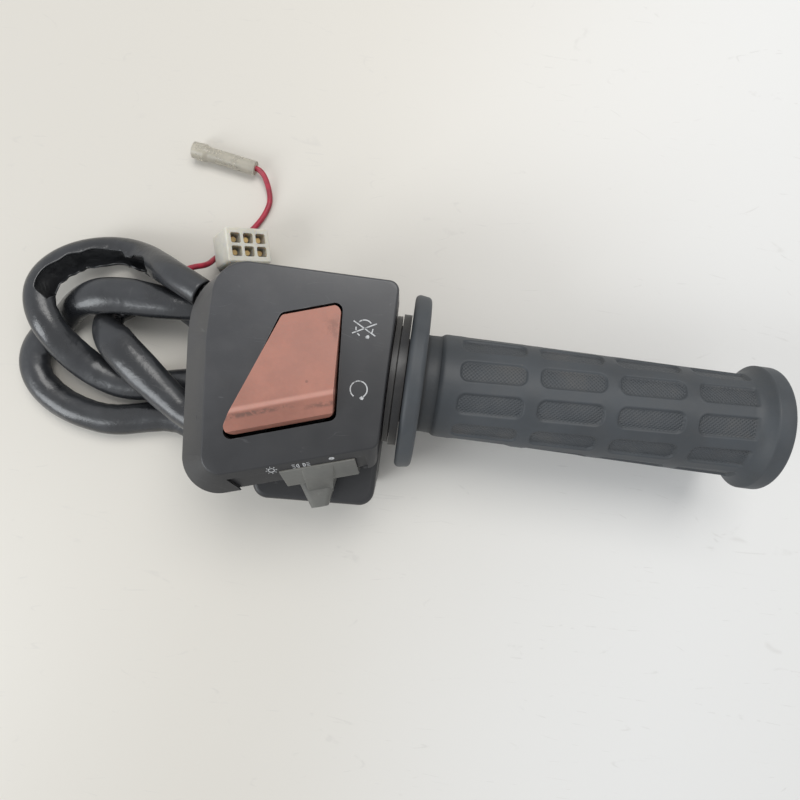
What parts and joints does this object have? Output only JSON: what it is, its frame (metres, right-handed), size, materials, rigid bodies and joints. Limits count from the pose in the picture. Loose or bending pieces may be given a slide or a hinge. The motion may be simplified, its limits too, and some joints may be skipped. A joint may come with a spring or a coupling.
{
  "type": "motorcycle throttle grip",
  "caption": "Right-hand motorcycle throttle grip: rubber grip on a turning throttle tube, two-piece switch housing with kill rocker and light slider, sheathed harness.",
  "frame": {"origin": "on the handlebar's axis, in the outboard face of the switch housing", "axes": "+X outboard along the handlebar, +Y up as worn, +Z towards the rider"},
  "size_m": [0.2587, 0.1229, 0.063],
  "materials": {
    "case": "die-cast, satin black paint rubbed at the edges",
    "black_nylon": "satin",
    "grip_rubber": "matt, knurled pads",
    "rocker": "faded red, matt",
    "slider": "faded grey, matt",
    "steel": "zinc plated",
    "brass": "dull",
    "phenolic": "moulded",
    "sheath": "glossy soft vinyl",
    "grommet": "matt",
    "nylon": "milky",
    "wire_black": "satin",
    "wire_red": "satin",
    "clear_sleeve": "translucent, yellowed"
  },
  "bodies": {
    "housing": {"rear_housing": "case", "front_housing": "case", "case_screws": "steel", "kill_pivot_pin": "steel", "kill_contact_base": "phenolic", "kill_contacts": "brass", "board_screws": "steel", "light_contact_base": "phenolic", "light_contacts": "brass", "harness_sheath": "sheath", "harness_grommet": "grommet", "connector_housing": "nylon", "connector_terminals": "brass", "connector_wires": "wire_black", "red_lead": "wire_red", "bullet_sleeve": "clear_sleeve", "bullet_terminal": "brass"},
    "throttle": {"throttle_tube": "black_nylon", "grip_flange": "grip_rubber", "grip_rubber": "grip_rubber"},
    "kill_rocker": {"kill_rocker": "rocker", "kill_moving_contact": "brass"},
    "light_slider": {"light_slider": "slider", "slider_carriage": "phenolic"}
  },
  "joints": [
    {"name": "throttle_turn", "type": "hinge", "parent": "housing", "child": "throttle", "pos_m": [0, 0, 0], "axis": [1, 0, 0], "range_deg": [0, 75]},
    {"name": "kill_rock", "type": "hinge", "parent": "housing", "child": "kill_rocker", "pos_m": [-0.02584, -0.00115, 0.0215], "axis": [0.9511, 0.309, 0], "range_deg": [0, 16]},
    {"name": "light_slide", "type": "slide", "parent": "housing", "child": "light_slider", "axis": [-0.9537, -0.3007, 0], "range_m": [0, 0.0134]}
  ]
}
